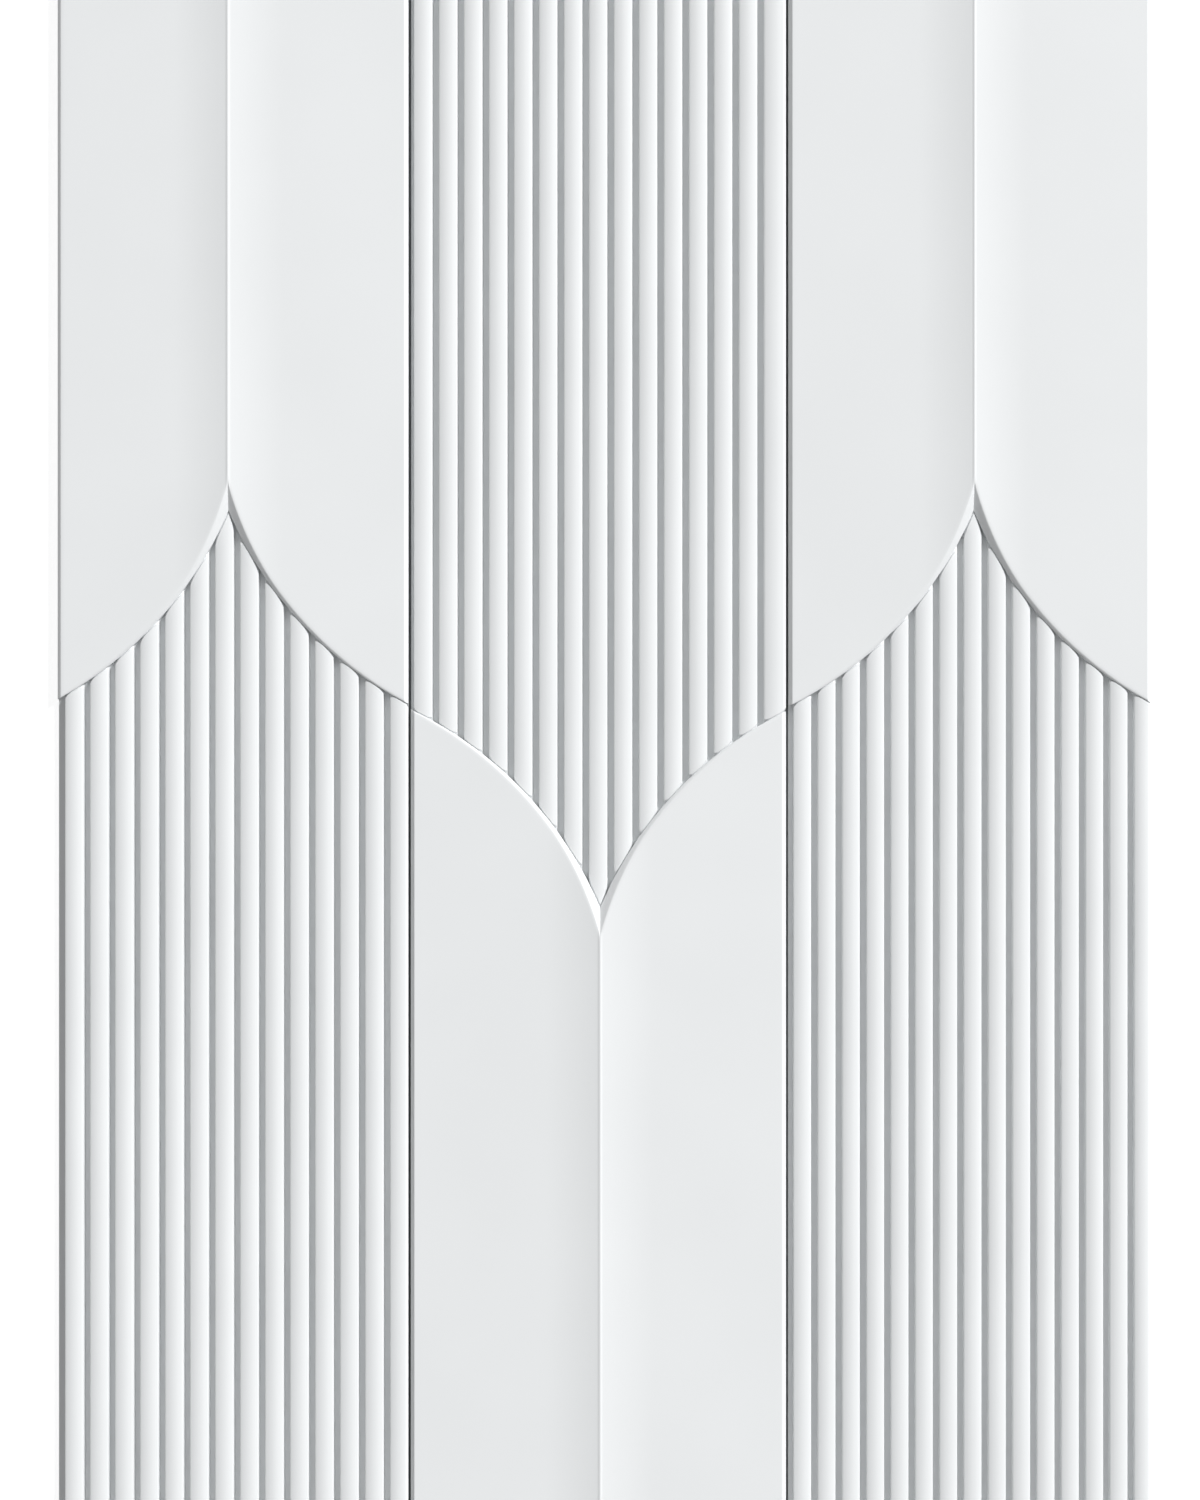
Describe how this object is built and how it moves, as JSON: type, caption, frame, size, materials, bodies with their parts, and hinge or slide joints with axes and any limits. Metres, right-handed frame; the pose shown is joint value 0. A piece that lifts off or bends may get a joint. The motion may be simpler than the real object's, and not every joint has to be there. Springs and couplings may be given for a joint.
{
  "type": "fluted wall panel",
  "caption": "White lacquered relief wall panel with bays of rounded ribs and narrow flutes that end under keeled petals with curved ends; the middle bay is upside down.",
  "frame": {"origin": "middle of the flat back face, at half the panel's width and half its length", "axes": "+X across the panel to the right as it hangs on a wall, +Y up along its length, +Z out of its relief face"},
  "size_m": [1.22, 2.44, 0.028],
  "materials": {
    "lacquered_mdf": "satin white lacquer on milled MDF"
  },
  "bodies": {
    "root": {"fluted_panel": "lacquered_mdf"}
  },
  "joints": []
}
